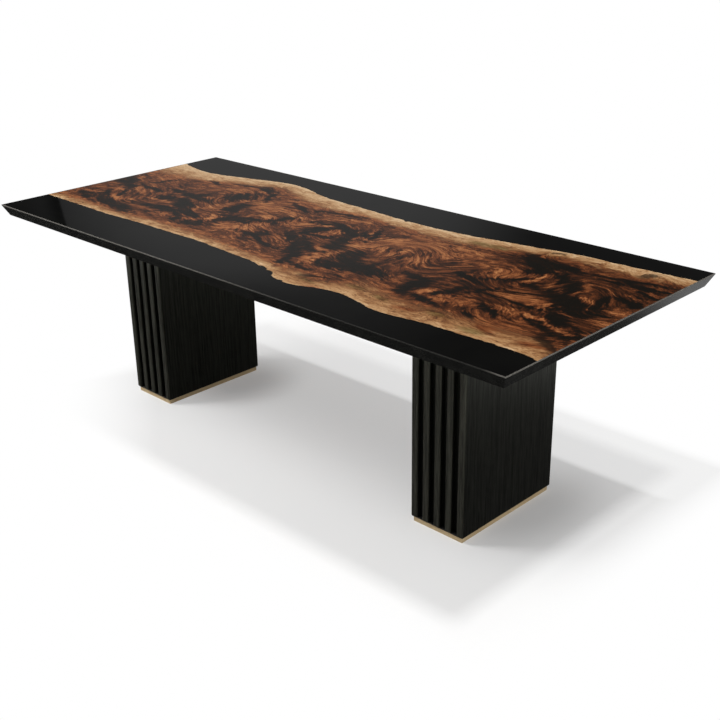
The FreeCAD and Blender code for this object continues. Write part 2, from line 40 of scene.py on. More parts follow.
# Natural edges, as shares of half the length and half the width
back_edge_shares = (
    (-1.00, 0.684), (-0.92, 0.634), (-0.86, 0.614), (-0.79, 0.622), (-0.72, 0.660), (-0.62, 0.724),
    (-0.54, 0.778), (-0.46, 0.795), (-0.39, 0.768), (-0.31, 0.710), (-0.22, 0.678), (-0.10, 0.662),
    (0.03, 0.635), (0.20, 0.623), (0.33, 0.646), (0.44, 0.686), (0.54, 0.722), (0.64, 0.764),
    (0.78, 0.777), (0.90, 0.792), (1.00, 0.806),
)
front_edge_shares = (
    (-1.00, -0.617), (-0.80, -0.623), (-0.66, -0.629), (-0.50, -0.613), (-0.30, -0.610),
    (-0.20, -0.608), (-0.12, -0.625), (-0.03, -0.641), (0.05, -0.656), (0.11, -0.705), (0.16, -0.750),
    (0.22, -0.782), (0.27, -0.772), (0.33, -0.722), (0.40, -0.704), (0.46, -0.730), (0.53, -0.766),
    (0.59, -0.762), (0.66, -0.738), (0.78, -0.728), (0.90, -0.720), (0.96, -0.728), (1.00, -0.752),
)

# How deep the sapwood goes in from each edge: share of half the length, depth in metres
back_sapwood_depths = (
    (-1.00, 0.135), (-0.85, 0.115), (-0.70, 0.100), (-0.55, 0.085), (-0.45, 0.070), (-0.38, 0.085),
    (-0.25, 0.085), (-0.10, 0.075), (0.00, 0.060), (0.10, 0.060), (0.30, 0.085), (0.45, 0.090),
    (0.55, 0.065), (0.70, 0.060), (0.85, 0.075), (1.00, 0.060),
)
front_sapwood_depths = (
    (-1.00, 0.040), (-0.60, 0.045), (-0.30, 0.050), (-0.10, 0.045), (0.05, 0.040), (0.15, 0.075),
    (0.22, 0.095), (0.30, 0.070), (0.40, 0.120), (0.55, 0.110), (0.70, 0.100), (0.90, 0.105), (1.00, 0.080),
)

# Dark heart stains, in millimetres: middle x and y, half length, half width, and turn in degrees
dark_stains = (
    (-585, 290, 45, 25, -25), (-590, 150, 58, 42, 80), (-1150, 25, 90, 36, -35), (-1070, -20, 60, 22, -35),
    (-960, 5, 70, 13, -5), (-750, 38, 115, 19, -6), (-722, 66, 30, 18, 60), (-790, -45, 48, 26, 0),
    (-680, -50, 62, 32, -30), (-640, -90, 90, 20, -20), (-700, -142, 115, 19, 8), (-560, -122, 70, 16, -10),
    (-1035, -165, 62, 16, -45), (-1008, -85, 60, 10, -60), (-930, -226, 110, 22, -15),
    (-810, -242, 70, 24, -20), (-1085, -222, 62, 18, -20), (-1012, 105, 42, 9, 65),
    (-476, 30, 62, 31, 100), (-560, -185, 55, 13, -45),
    (-440, -188, 60, 25, 20), (-502, 215, 62, 14, -55), (-402, -95, 58, 20, 75), (-700, 276, 52, 8, 15),
    (-838, 230, 32, 10, -20), (-300, 196, 55, 13, -25), (-210, 210, 18, 15, 0), (-118, 238, 80, 11, 10),
    (-230, 60, 46, 13, 80), (-345, -32, 105, 11, 14), (-362, -64, 55, 22, -6), (-252, 12, 42, 9, 40),
    (-80, 110, 60, 13, 12), (-18, 128, 42, 14, -20), (66, 100, 78, 20, -2), (78, 62, 42, 27, 75),
    (-40, 42, 52, 24, 70), (-5, -8, 85, 9, 8), (122, -18, 74, 26, -65), (134, -66, 36, 27, 0),
    (152, 112, 52, 13, -62), (-60, -72, 62, 17, -45), (38, -108, 72, 28, -32), (62, -168, 62, 26, -38),
    (-195, -150, 62, 16, -6), (-172, -122, 30, 22, 40), (-52, -190, 72, 9, -10), (106, -235, 62, 13, -76),
    (240, -78, 38, 27, 72), (280, -122, 62, 28, -45), (345, -158, 112, 34, -8), (262, -200, 62, 27, 4),
    (192, -275, 55, 12, -8), (305, -314, 45, 10, 25), (742, 256, 86, 38, -24), (790, 192, 42, 28, 70),
    (835, 266, 60, 17, -15), (948, 128, 58, 21, -70), (890, 172, 42, 12, -70), (846, 60, 27, 15, 10),
    (765, 62, 92, 8, 42), (1000, 32, 92, 28, -8), (1048, -22, 72, 42, -50), (1064, -110, 62, 33, -50),
    (1112, -150, 42, 20, -20), (1088, 80, 55, 10, -72), (1142, 126, 52, 16, -15), (1112, -42, 60, 13, 40),
    (868, -178, 46, 13, -28), (905, -195, 32, 9, -60), (700, -136, 42, 18, 70), (588, -160, 58, 26, 80),
    (592, -222, 42, 20, -60), (556, -110, 52, 16, -5), (682, -240, 62, 11, -10), (862, -255, 26, 9, -20),
    (1078, -198, 72, 13, -20), (1152, -216, 52, 11, 20), (1150, -286, 58, 15, -35), (866, -14, 82, 8, 26),
    (662, -8, 62, 14, -20), (772, -70, 62, 9, 60), (902, -90, 122, 7, -3), (1030, 282, 102, 11, 12),
    (1092, 258, 92, 11, 3), (1152, 214, 42, 9, -20), (1068, 368, 26, 18, 40), (736, 368, 20, 10, 30),
)

# Warm light patches in the heart, written as the stains are
light_patches = (
    (-552, 26, 45, 20, 72), (-522, -14, 36, 17, -22), (-520, 132, 48, 17, 8), (-690, 70, 32, 11, 0),
    (-940, -166, 42, 22, 20), (-980, -40, 62, 15, -22), (-792, -84, 72, 9, 5), (-1040, -76, 32, 17, 0),
    (-1160, 80, 42, 15, -20), (-590, -76, 42, 12, -45), (-440, -116, 52, 16, -60), (-300, -128, 82, 38, 5),
    (-272, -68, 42, 17, 40), (-250, 116, 72, 14, -15), (-410, 125, 95, 38, -10), (-132, 54, 48, 20, 30),
    (-300, 36, 27, 16, 0), (22, 66, 62, 15, -26), (-60, 90, 62, 7, -10), (120, 66, 32, 9, -60),
    (-80, 200, 42, 11, -20), (0, 216, 52, 11, 10), (200, 22, 55, 42, 20), (262, 10, 38, 22, 85),
    (160, -100, 62, 17, 10), (166, -190, 62, 26, 85), (430, 20, 42, 28, 90), (342, 40, 45, 12, 85),
    (720, 100, 60, 48, 20), (822, 112, 42, 10, 80), (890, 102, 42, 9, -75), (980, 160, 48, 9, -60),
    (1050, 60, 42, 14, -30), (920, -50, 112, 30, -8), (930, -150, 122, 15, 0), (760, -190, 62, 26, 10),
    (652, -180, 42, 15, 60), (1180, 22, 42, 22, 10), (1180, -60, 42, 22, 0), (1132, -182, 32, 22, 90),
    (-560, 260, 32, 12, 20), (-650, 210, 60, 26, 10), (470, 150, 170, 52, 0), (300, 130, 120, 40, 10),
)

# Bites out of the jagged stretch of the front edge, and olive and rust tints in the sapwood,
# written as the stains are
filled_bites = ((118, -366, 32, 14, -12), (168, -388, 34, 20, -30), (254, -412, 14, 9, 0))
olive_tints = (
    (310, -348, 32, 14, -10), (475, -293, 42, 13, 0), (588, -318, 40, 12, -15), (794, -305, 52, 17, -8),
    (945, -342, 45, 15, 0), (550, 286, 60, 22, 0), (479, 285, 45, 22, 0),
)
rust_tints = (
    (385, -386, 42, 14, 0), (963, -302, 38, 18, -10), (1125, -316, 42, 16, 0), (700, -340, 40, 12, 10),
)

# Eddies of the grain: middle x and y and reach in millimetres, and the turn at the middle in radians
grain_eddies = (
    (-590, 150, 110, 1.0), (-480, 30, 100, -0.9), (-940, -110, 140, 0.8), (-760, -60, 120, -0.7),
    (-230, 20, 110, 1.1), (-330, -110, 100, -0.8), (20, 60, 120, 1.1), (80, -120, 120, -1.0),
    (300, 20, 120, -1.6), (430, 20, 100, 1.4), (590, -160, 100, -1.1), (760, 90, 130, 1.2),
    (930, 120, 110, -1.3), (1060, 30, 120, 1.0), (880, -180, 100, 1.1), (1120, -170, 100, -1.1),
    (741, 350, 45, 2.4), (1075, 362, 50, -2.4),
)

# A metre, in the millimetres that these lists are written in
metre = 1000


def linear_light(red, green, blue):
    """A colour as it shows on a screen, from 0 to 255, as the light value that a shader takes."""
    shares = [step / 255 for step in (red, green, blue)]
    return tuple(s / 12.92 if s <= 0.04045 else ((s + 0.055) / 1.055) ** 2.4 for s in shares) + (1.0,)


def feed(tree, socket, value):
    """Set a socket to a plain value, or join it to another node's socket."""
    if isinstance(value, bpy.types.NodeSocket):
        tree.links.new(value, socket)
    else:
        socket.default_value = value


def add_node(tree, kind, sockets=None, **settings):
    """Add a node, set its options and feed the sockets that are named."""
    node = tree.nodes.new(kind)
    for option, value in settings.items():
        setattr(node, option, value)
    for socket, value in (sockets or {}).items():
        feed(tree, node.inputs[socket], value)
    return node


def new_finish(name):
    """A finish with its shader, ready to be wired, and the place on the piece that its patterns follow."""
    finish = bpy.data.materials.new(name)
    finish.use_nodes = True
    tree = finish.node_tree
    spot = add_node(tree, "ShaderNodeTexCoord").outputs["Object"]
    return finish, tree, tree.nodes["Principled BSDF"], spot


def sum_of(tree, operation, *values):
    """One step of arithmetic on numbers or sockets."""
    return add_node(tree, "ShaderNodeMath", dict(enumerate(values)), operation=operation).outputs[0]


def vector_sum(tree, operation, *values):
    """One step of arithmetic on places."""
    return add_node(tree, "ShaderNodeVectorMath", dict(enumerate(values)), operation=operation).outputs[0]


def ease(tree, value, low, high, start=0.0, end=1.0):
    """Ease from a start to an end while a value goes from low to high."""
    sockets = {"Value": value, "From Min": low, "From Max": high, "To Min": start, "To Max": end}
    return add_node(tree, "ShaderNodeMapRange", sockets, interpolation_type="SMOOTHSTEP").outputs["Result"]


def mix_colours(tree, share, first, second, how="MIX"):
    """Lay a second colour over a first one by a share."""
    node = add_node(tree, "ShaderNodeMix", data_type="RGBA", blend_type=how)
    for socket, value in ((node.inputs[0], share), (node.inputs[6], first), (node.inputs[7], second)):
        feed(tree, socket, value)
    return node.outputs[2]


def cloud(tree, place, stretch, detail=4.0, roughness=0.55, distortion=0.0):
    """Uneven tone with a number of waves per metre along each axis."""
    scaled = vector_sum(tree, "MULTIPLY", place, stretch)
    sockets = {"Vector": scaled, "Scale": 1.0, "Detail": detail, "Roughness": roughness,
               "Distortion": distortion}
    return add_node(tree, "ShaderNodeTexNoise", sockets)


def colour_steps(tree, value, steps):
    """Colours along a value from 0 to 1."""
    node = add_node(tree, "ShaderNodeValToRGB", {"Fac": value})
    ramp = node.color_ramp
    while len(ramp.elements) < len(steps):
        ramp.elements.new(0.5)
    for element, (position, shade) in zip(ramp.elements, steps):
        element.position = position
        element.color = linear_light(*shade)
    return node.outputs["Color"]


def add_relief(tree, shader, height, strength, depth):
    """Let a finish catch the light on a fine relief."""
    bump = add_node(tree, "ShaderNodeBump", {"Strength": strength, "Distance": depth, "Height": height})
    feed(tree, shader.inputs["Normal"], bump.outputs["Normal"])


def polished_share(tree):
    """1 on the polished upper face of a piece and 0 on its sanded underside."""
    normal = add_node(tree, "ShaderNodeNewGeometry").outputs["Normal"]
    return ease(tree, add_node(tree, "ShaderNodeSeparateXYZ", {0: normal}).outputs["Z"], -0.2, 0.6)


def drawn_curve(tree, along, points, low, high):
    """Read a curve drawn through given points at a share of the length from -1 to 1, with heights between
    low and high.
    """
    node = add_node(tree, "ShaderNodeFloatCurve", {"Value": sum_of(tree, "MULTIPLY_ADD", along, 0.5, 0.5)})
    curve = node.mapping.curves[0]
    while len(curve.points) < len(points):
        curve.points.new(0.5, 0.5)
    for spot, (share, height) in zip(curve.points, points):
        spot.location = ((share + 1) / 2, (height - low) / (high - low))
    node.mapping.update()
    return sum_of(tree, "MULTIPLY_ADD", node.outputs[0], high - low, low)


def length_of(tree, reach):
    """How far a reach goes, whichever way it points."""
    return add_node(tree, "ShaderNodeVectorMath", {0: reach}, operation="LENGTH").outputs["Value"]


def nearest_patch(tree, place, patches):
    """How many half sizes away the nearest of some oval patches is, worked out a few patches at a time."""
    nearest = None
    together = 8
    for number, (x, y, length, width, turn) in enumerate(patches):
        if number and number % together == 0:
            hold_back = add_node(tree, "ShaderNodeCombineXYZ", {0: nearest, 1: nearest}).outputs[0]
            place = vector_sum(tree, "MULTIPLY_ADD", hold_back, (1e-9, 1e-9, 0.0), place)
        sockets = {"Vector": place, "Location": (x / metre, y / metre, 0.0),
                   "Rotation": (0.0, 0.0, math.radians(turn)),
                   "Scale": (length / metre, width / metre, 1.0)}
        oval = add_node(tree, "ShaderNodeMapping", sockets, vector_type="TEXTURE")
        away = length_of(tree, oval.outputs[0])
        nearest = away if nearest is None else sum_of(tree, "MINIMUM", nearest, away)
    return nearest


def stirred(tree, place, eddies):
    """Turn the grain about the middle of each eddy, most at the middle."""
    for x, y, reach, turn in eddies:
        middle = (x / metre, y / metre, 0.0)
        sockets = {0: place, 1: middle}
        away = add_node(tree, "ShaderNodeVectorMath", sockets, operation="DISTANCE").outputs["Value"]
        fade = sum_of(tree, "POWER", sum_of(tree, "DIVIDE", away, reach / metre), 2.0)
        strength = sum_of(tree, "EXPONENT", sum_of(tree, "MULTIPLY", fade, -1.0))
        angle = sum_of(tree, "MULTIPLY", strength, turn)
        sockets = {"Vector": place, "Center": middle, "Axis": (0.0, 0.0, 1.0), "Angle": angle}
        place = add_node(tree, "ShaderNodeVectorRotate", sockets, rotation_type="AXIS_ANGLE").outputs[0]
    return place


def walnut_finish():
    finish, tree, shader, spot = new_finish("walnut")
    flat = vector_sum(tree, "MULTIPLY", spot, (1.0, 1.0, 0.0))
    axes = add_node(tree, "ShaderNodeSeparateXYZ", {0: flat})
    along = sum_of(tree, "DIVIDE", axes.outputs["X"], half_length)

    # Grain that runs along the board, stirred by the eddies and wandering in large and small waves
    stir = stirred(tree, flat, grain_eddies)
    sway = cloud(tree, flat, (3.0, 6.0, 1.0), 2.0).outputs["Color"]
    flutter = cloud(tree, flat, (10.0, 18.0, 1.0), 3.0).outputs["Color"]
    wander = vector_sum(tree, "MULTIPLY_ADD", sway, (0.10, 0.07, 0.0), stir)
    grain = vector_sum(tree, "MULTIPLY_ADD", flutter, (0.064, 0.044, 0.0), wander)
    broad = cloud(tree, grain, (9.0, 22.0, 1.0), 7.0, 0.70, 0.4).outputs["Fac"]
    bands = cloud(tree, grain, (25.0, 64.0, 1.0), 7.0, 0.72, 0.5).outputs["Fac"]
    fine = cloud(tree, grain, (105.0, 260.0, 1.0), 4.0, 0.70).outputs["Fac"]
    speckle = cloud(tree, grain, (52.0, 130.0, 1.0), 5.0, 0.72).outputs["Fac"]
    course = cloud(tree, grain, (5.0, 24.0, 1.0), 4.0, 0.60, 0.6).outputs["Fac"]
    veins = ease(tree, sum_of(tree, "ABSOLUTE", sum_of(tree, "SUBTRACT", course, 0.5)), 0.030, 0.004)
    squiggle = cloud(tree, grain, (12.0, 46.0, 1.0), 5.0, 0.65, 0.8).outputs["Fac"]
    hairlines = ease(tree, sum_of(tree, "ABSOLUTE", sum_of(tree, "SUBTRACT", squiggle, 0.5)), 0.022, 0.002)
    mottle = cloud(tree, grain, (13.0, 38.0, 1.0), 7.0, 0.72, 0.3).outputs["Fac"]
    growth = cloud(tree, grain, (1.8, 6.5, 1.0), 2.0, 0.5).outputs["Fac"]
    pores = cloud(tree, flat, (60.0, 900.0, 1.0), 2.0, 0.5).outputs["Fac"]
    ring_phase = sum_of(tree, "MULTIPLY_ADD", growth, 70.0, sum_of(tree, "MULTIPLY", bands, 7.0))
    rings = sum_of(tree, "SINE", ring_phase)

    # Distance in from each natural edge, with small hollows, deepest where the front edge is jagged
    jagged = sum_of(tree, "MULTIPLY", ease(tree, along, 0.02, 0.07), ease(tree, along, 0.31, 0.26))
    hollows = cloud(tree, flat, (30.0, 46.0, 1.0), 4.0, 0.6).outputs["Fac"]
    hollow_depth = sum_of(tree, "MULTIPLY_ADD", jagged, 0.030, 0.018)
    raggedness = sum_of(tree, "MULTIPLY", sum_of(tree, "SUBTRACT", hollows, 0.5), hollow_depth)
    back_points = [(share, across * half_width) for share, across in back_edge_shares]
    front_points = [(share, across * half_width) for share, across in front_edge_shares]
    back = drawn_curve(tree, along, back_points, -half_width, half_width)
    front = drawn_curve(tree, along, front_points, -half_width, half_width)
    from_back = sum_of(tree, "SUBTRACT", back, axes.outputs["Y"])
    from_front = sum_of(tree, "SUBTRACT", axes.outputs["Y"], front)

    # Dark stains and light patches, whose outlines break up along the grain
    feather = cloud(tree, grain, (10.0, 40.0, 1.0), 5.0, 0.65).outputs["Color"]
    drift = vector_sum(tree, "MULTIPLY_ADD", feather, (0.080, 0.050, 0.0), (-0.040, -0.025, 0.0))
    blurred = vector_sum(tree, "ADD", flat, drift)
    fray = sum_of(tree, "MULTIPLY", sum_of(tree, "SUBTRACT", bands, 0.5), 2.6)
    stain_reach = sum_of(tree, "ADD", nearest_patch(tree, blurred, dark_stains), fray)
    stain = ease(tree, stain_reach, 1.75, 0.65)
    patch_reach = sum_of(tree, "SUBTRACT", nearest_patch(tree, blurred, light_patches), fray)
    patch = ease(tree, patch_reach, 1.7, 0.4)

    # Depth into the sapwood along both edges, up to 1 where it meets the heart
    back_depth = drawn_curve(tree, along, back_sapwood_depths, 0.0, 0.2)
    front_depth = drawn_curve(tree, along, front_sapwood_depths, 0.0, 0.2)
    broad_waves = sum_of(tree, "MULTIPLY_ADD", broad, 0.10, -0.10)
    unevenness = sum_of(tree, "MULTIPLY_ADD", bands, 0.10, broad_waves)
    depths = []
    for distance, depth in ((from_back, back_depth), (from_front, front_depth)):
        depths.append(sum_of(tree, "DIVIDE", sum_of(tree, "ADD", distance, unevenness), depth))
    inward = sum_of(tree, "MINIMUM", *depths)

    # Tone of the heart: streaks and growth rings, darkened in the stains and warmed in the patches
    streaks = sum_of(tree, "MULTIPLY_ADD", bands, 1.05, sum_of(tree, "MULTIPLY", broad, 0.70))
    ringed = sum_of(tree, "MULTIPLY_ADD", rings, 0.05, streaks)
    level = ease(tree, along, -0.2, 0.7, -0.860, -0.945)
    freckled = sum_of(tree, "MULTIPLY_ADD", speckle, 0.42, sum_of(tree, "ADD", ringed, level))
    tone = sum_of(tree, "MULTIPLY_ADD", fine, 0.50, freckled)
    lined = sum_of(tree, "MULTIPLY_ADD", hairlines, -0.12, tone)
    veined = sum_of(tree, "MULTIPLY_ADD", veins, -0.13, lined)
    lifted = sum_of(tree, "MULTIPLY_ADD", patch, 0.19, veined)
    beside_sap = sum_of(tree, "ADD", lifted, ease(tree, inward, 2.4, 0.9, 0.0, 0.10))
    sunk = sum_of(tree, "MULTIPLY_ADD", stain, -0.32, beside_sap)
    heart = colour_steps(tree, sunk, (
        (0.10, (21, 18, 14)), (0.28, (40, 24, 16)), (0.40, (75, 41, 23)), (0.50, (106, 59, 34)),
        (0.62, (147, 88, 51)), (0.80, (184, 126, 78)),
    ))

    # Pale sapwood along both edges: cream at the resin, orange where it meets the heart
    sap_share = ease(tree, inward, 1.25, 0.75)
    flecks = ease(tree, speckle, 0.56, 0.66)
    marks = sum_of(tree, "MULTIPLY_ADD", flecks, 0.42, sum_of(tree, "MULTIPLY", veins, 0.20))
    sap_grain = sum_of(tree, "MULTIPLY_ADD", fine, -0.7, 1.08)
    sap_tone = sum_of(tree, "MULTIPLY_ADD", mottle, -1.35, sap_grain)
    front_side = ease(tree, axes.outputs["Y"], 0.05, -0.05, -0.01, 0.19)
    aged = sum_of(tree, "ADD", front_side, ease(tree, along, 0.10, 0.40, 0.0, 0.10))
    sap_ground = sum_of(tree, "ADD", sum_of(tree, "ADD", sap_tone, marks), aged)
    sap_age = sum_of(tree, "MULTIPLY_ADD", inward, 0.42, sap_ground)
    sap = colour_steps(tree, sap_age, (
        (0.05, (218, 186, 146)), (0.28, (194, 153, 110)), (0.50, (162, 119, 78)), (0.70, (128, 84, 52)),
        (0.92, (84, 52, 34)),
    ))
    olive = ease(tree, nearest_patch(tree, blurred, olive_tints), 1.6, 0.4, 0.0, 0.8)
    sap = mix_colours(tree, olive, sap, linear_light(172, 186, 164), "MULTIPLY")
    rust = ease(tree, nearest_patch(tree, blurred, rust_tints), 1.6, 0.4, 0.0, 0.8)
    sap = mix_colours(tree, rust, sap, linear_light(206, 160, 140), "MULTIPLY")
    sap_left = sum_of(tree, "MULTIPLY", sap_share, sum_of(tree, "MULTIPLY_ADD", stain, -0.8, 1.0))
    wood = mix_colours(tree, sap_left, heart, sap)

    # Pores, and the resin that has run into the small hollows of the edge
    pore_shade = ease(tree, pores, 0.56, 0.74, 0.0, 0.35)
    wood = mix_colours(tree, pore_shade, wood, linear_light(30, 20, 14))
    rim = sum_of(tree, "MINIMUM", from_back, from_front)
    hollowed = ease(tree, sum_of(tree, "ADD", rim, raggedness), 0.0025, 0.0)
    bite_reach = sum_of(tree, "MULTIPLY_ADD", hollows, 0.8, nearest_patch(tree, flat, filled_bites))
    filled = sum_of(tree, "MAXIMUM", hollowed, ease(tree, bite_reach, 1.45, 1.35))
    wood = mix_colours(tree, filled, wood, linear_light(13, 13, 12))
    feed(tree, shader.inputs["Base Color"], wood)
    feed(tree, shader.inputs["Roughness"], ease(tree, fine, 0.2, 0.8, 0.34, 0.44))
    shader.inputs["Specular IOR Level"].default_value = 0.08
    feed(tree, shader.inputs["Coat Weight"], sum_of(tree, "MULTIPLY", polished_share(tree), 0.70))
    shader.inputs["Coat Roughness"].default_value = 0.09
    add_relief(tree, shader, pores, 0.10, 0.0004)
    return finish


def dress(finish, *names):
    """Give CAD pieces a finish in place of their plain one."""
    for name in names:
        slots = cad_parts[name].data.materials
        slots.clear()
        slots.append(finish)


dress(walnut_finish(), "walnut_slab")

# Resin borders
# Opaque black casting resin, poured against the natural edges of the slab in one mould,
# then sanded flush with the wood and polished to a deep satin.


def resin_finish():
    finish, tree, shader, spot = new_finish("black_resin")
    swirl = cloud(tree, spot, (3.0, 5.0, 3.0), 4.0, 0.6, 0.8).outputs["Fac"]
    haze = cloud(tree, spot, (38.0, 46.0, 38.0), 4.0).outputs["Fac"]
    base = colour_steps(tree, swirl, ((0.30, (9, 9, 9)), (0.70, (15, 15, 14))))
    feed(tree, shader.inputs["Base Color"], base)
    polish = polished_share(tree)
    sanding = sum_of(tree, "MULTIPLY_ADD", polish, -0.45, 0.45)
    hazing = ease(tree, haze, 0.25, 0.75, 0.02, 0.04)
    feed(tree, shader.inputs["Roughness"], sum_of(tree, "ADD", sanding, hazing))
    feed(tree, shader.inputs["Specular IOR Level"], sum_of(tree, "MULTIPLY_ADD", polish, 0.48, 0.02))
    add_relief(tree, shader, haze, 0.04, 0.0003)
    return finish


dress(resin_finish(), "front_resin", "back_resin")

# Edge strips
# Black resin-faced strips, mitred at the corners and bonded round the undercut sides of the top;
# the sharp upper arris is eased by hand and carries a painted highlight, paler in places along the strips.
top_height = cad_high.z
lip_depth = 0.003
# Strength of the painted highlight on the arris, where it is brightest and where it is faintest
brightest_highlight, faintest_highlight = 1.0, 0.1


def edge_finish():
    finish, tree, shader, spot = new_finish("black_edge")
    axes = add_node(tree, "ShaderNodeSeparateXYZ", {0: spot})
    grain = cloud(tree, spot, (22.0, 22.0, 60.0), 5.0).outputs["Fac"]
    scuffs = cloud(tree, spot, (140.0, 140.0, 300.0), 3.0).outputs["Fac"]
    base = colour_steps(tree, grain, ((0.30, (18, 18, 17)), (0.70, (26, 26, 24))))
    lip = ease(tree, axes.outputs["Z"], top_height - lip_depth * 1.5, top_height - lip_depth * 0.4)
    # Painted highlight along the arris: brightest towards the left end and at the right corner, broken up
    # by the scuffs
    highlight_along = sum_of(tree, "MAXIMUM", ease(tree, axes.outputs["X"], -0.35, 0.65, brightest_highlight, faintest_highlight),
                  ease(tree, axes.outputs["X"], 1.12, 1.19, faintest_highlight, brightest_highlight))
    highlight_lip = sum_of(tree, "MULTIPLY", lip, highlight_along)
    painted_highlight = sum_of(tree, "MULTIPLY", highlight_lip, ease(tree, scuffs, 0.2, 0.8, 0.55, 1.0))
    feed(tree, shader.inputs["Base Color"], mix_colours(tree, painted_highlight, base, linear_light(106, 103, 98)))
    feed(tree, shader.inputs["Roughness"], ease(tree, scuffs, 0.25, 0.75, 0.25, 0.27))
    shader.inputs["Specular IOR Level"].default_value = 0.04
    add_relief(tree, shader, scuffs, 0.01, 0.0003)
    return finish


dress(edge_finish(), *[f"{side}_edge_strip" for side in ("front", "back", "left", "right")])

# Stiffening channels and base plates
# Folded steel channels let into the underside of the slab, and the steel plates under the pedestals;
# all are cut, drilled and powder coated in fine-textured black.


def powder_coat_finish():
    finish, tree, shader, spot = new_finish("black_steel")
    texture = cloud(tree, spot, (900.0, 900.0, 900.0), 3.0, 0.6).outputs["Fac"]
    patches = cloud(tree, spot, (12.0, 12.0, 12.0), 3.0).outputs["Fac"]
    base = colour_steps(tree, patches, ((0.30, (22, 22, 23)), (0.70, (32, 32, 32))))
    feed(tree, shader.inputs["Base Color"], base)
    feed(tree, shader.inputs["Roughness"], ease(tree, texture, 0.3, 0.7, 0.48, 0.62))
    add_relief(tree, shader, texture, 0.25, 0.0004)
    return finish


dress(powder_coat_finish(), "left_stiffener", "middle_stiffener", "right_stiffener",
      "left_base_plate", "right_base_plate")

# Bolts, screws, nuts and foot stems
# Bright zinc-plated steel fasteners that hold the top, the channels, the base plates and the plinths,
# and the threaded stems that the levelling feet turn on.


def plated_finish(name, dull, bright):
    finish, tree, shader, spot = new_finish(name)
    tarnish = cloud(tree, spot, (150.0, 150.0, 150.0), 4.0).outputs["Fac"]
    turning = cloud(tree, spot, (40.0, 40.0, 1800.0), 2.0).outputs["Fac"]
    feed(tree, shader.inputs["Base Color"], colour_steps(tree, tarnish, ((0.30, dull), (0.70, bright))))
    feed(tree, shader.inputs["Roughness"], ease(tree, turning, 0.25, 0.75, 0.26, 0.42))
    shader.inputs["Metallic"].default_value = 1.0
    add_relief(tree, shader, turning, 0.12, 0.0002)
    return finish


sides = ("left", "right")
foot_numbers = (1, 2, 3, 4)
zinc = plated_finish("zinc_steel", (168, 169, 170), (202, 202, 198))
dress(zinc, "stiffener_bolts", "top_bolts", "base_screws", "plinth_screws", "leveller_nuts")
dress(zinc, *[f"{side}_foot_stem_{number}" for side in sides for number in foot_numbers])

# Threaded inserts
# Plain turned brass sleeves screwed into blind holes on the underside of the slab,
# so that the bolts can be undone without wearing the wood.
dress(plated_finish("insert_brass", (166, 132, 74), (196, 160, 96)), "stiffener_inserts", "top_inserts")

# Pedestal panels and slats
# Broad oak-veneered panels and three solid slats glued into each fluted end, all with upright grain;
# stained black under a thin satin lacquer, with faces that look to the front and back painted paler as
# painted light.


def black_oak_finish(name, broad_shades, painted_lit_shades):
    finish, tree, shader, spot = new_finish(name)
    sway = cloud(tree, spot, (5.0, 5.0, 1.6), 2.0).outputs["Color"]
    wander = vector_sum(tree, "MULTIPLY_ADD", sway, (0.03, 0.03, 0.0), (-0.015, -0.015, 0.0))
    grain = vector_sum(tree, "ADD", spot, wander)
    lines = cloud(tree, grain, (120.0, 120.0, 3.0), 5.0, 0.6).outputs["Fac"]
    pores = cloud(tree, grain, (520.0, 520.0, 14.0), 3.0, 0.6).outputs["Fac"]
    tone = sum_of(tree, "MULTIPLY_ADD", pores, 0.5, sum_of(tree, "MULTIPLY", lines, 0.5))
    # Faces that look to the front and back take paler shades: painted light on the fluted ends and panel
    # edges
    normal = add_node(tree, "ShaderNodeNewGeometry").outputs["Normal"]
    facing = sum_of(tree, "ABSOLUTE", add_node(tree, "ShaderNodeSeparateXYZ", {0: normal}).outputs["Y"])
    broad_face = colour_steps(tree, tone, tuple(zip((0.34, 0.66), broad_shades)))
    painted_lit_face = colour_steps(tree, tone, tuple(zip((0.34, 0.66), painted_lit_shades)))
    base = mix_colours(tree, ease(tree, facing, 0.3, 0.95), broad_face, painted_lit_face)
    feed(tree, shader.inputs["Base Color"], base)
    feed(tree, shader.inputs["Roughness"], ease(tree, tone, 0.3, 0.7, 0.44, 0.28))
    feed(tree, shader.inputs["Specular IOR Level"], ease(tree, tone, 0.38, 0.62, 0.18, 0.46))
    shader.inputs["Specular Tint"].default_value = linear_light(240, 244, 222)
    add_relief(tree, shader, tone, 0.35, 0.0006)
    return finish


ends = ("front", "back")
slat_numbers = (1, 2, 3)
black_oak = black_oak_finish("black_wood", ((6, 6, 5), (20, 20, 17)), ((24, 24, 21), (60, 59, 53)))
dress(black_oak, *[f"{side}_{face}_panel" for side in sides for face in ("outer", "inner")])
dress(black_oak, *[f"{side}_{end}_slat_{number}"
                   for side in sides for end in ends for number in slat_numbers])

# Backing boards
# Grooved boards behind the slats, stained black under the same lacquer and darkened further with painted
# shade, so that the gaps between the slats look deep.
stain_and_painted_shade = ((3, 3, 3), (6, 6, 6))
dress(black_oak_finish("black_board", stain_and_painted_shade, stain_and_painted_shade),
      *[f"{side}_{end}_backing" for side in sides for end in ends])

# Top boards
# Birch plywood boards screwed inside the heads of the pedestals, left bare;
# the bolts that hold the table top come up through them.


def plywood_finish():
    finish, tree, shader, spot = new_finish("plywood")
    lines = cloud(tree, spot, (3.0, 70.0, 420.0), 5.0, 0.6, 0.4).outputs["Fac"]
    base = colour_steps(tree, lines, (
        (0.25, (172, 136, 94)), (0.55, (204, 172, 126)), (0.80, (222, 194, 150)),
    ))
    feed(tree, shader.inputs["Base Color"], base)
    feed(tree, shader.inputs["Roughness"], ease(tree, lines, 0.3, 0.7, 0.62, 0.74))
    add_relief(tree, shader, lines, 0.2, 0.0004)
    return finish


dress(plywood_finish(), "left_top_board", "right_top_board")

# Plinths
# Low frames of solid brass bar under each pedestal, brushed along their length to a pale champagne tone,
# screwed to the base plates from below.


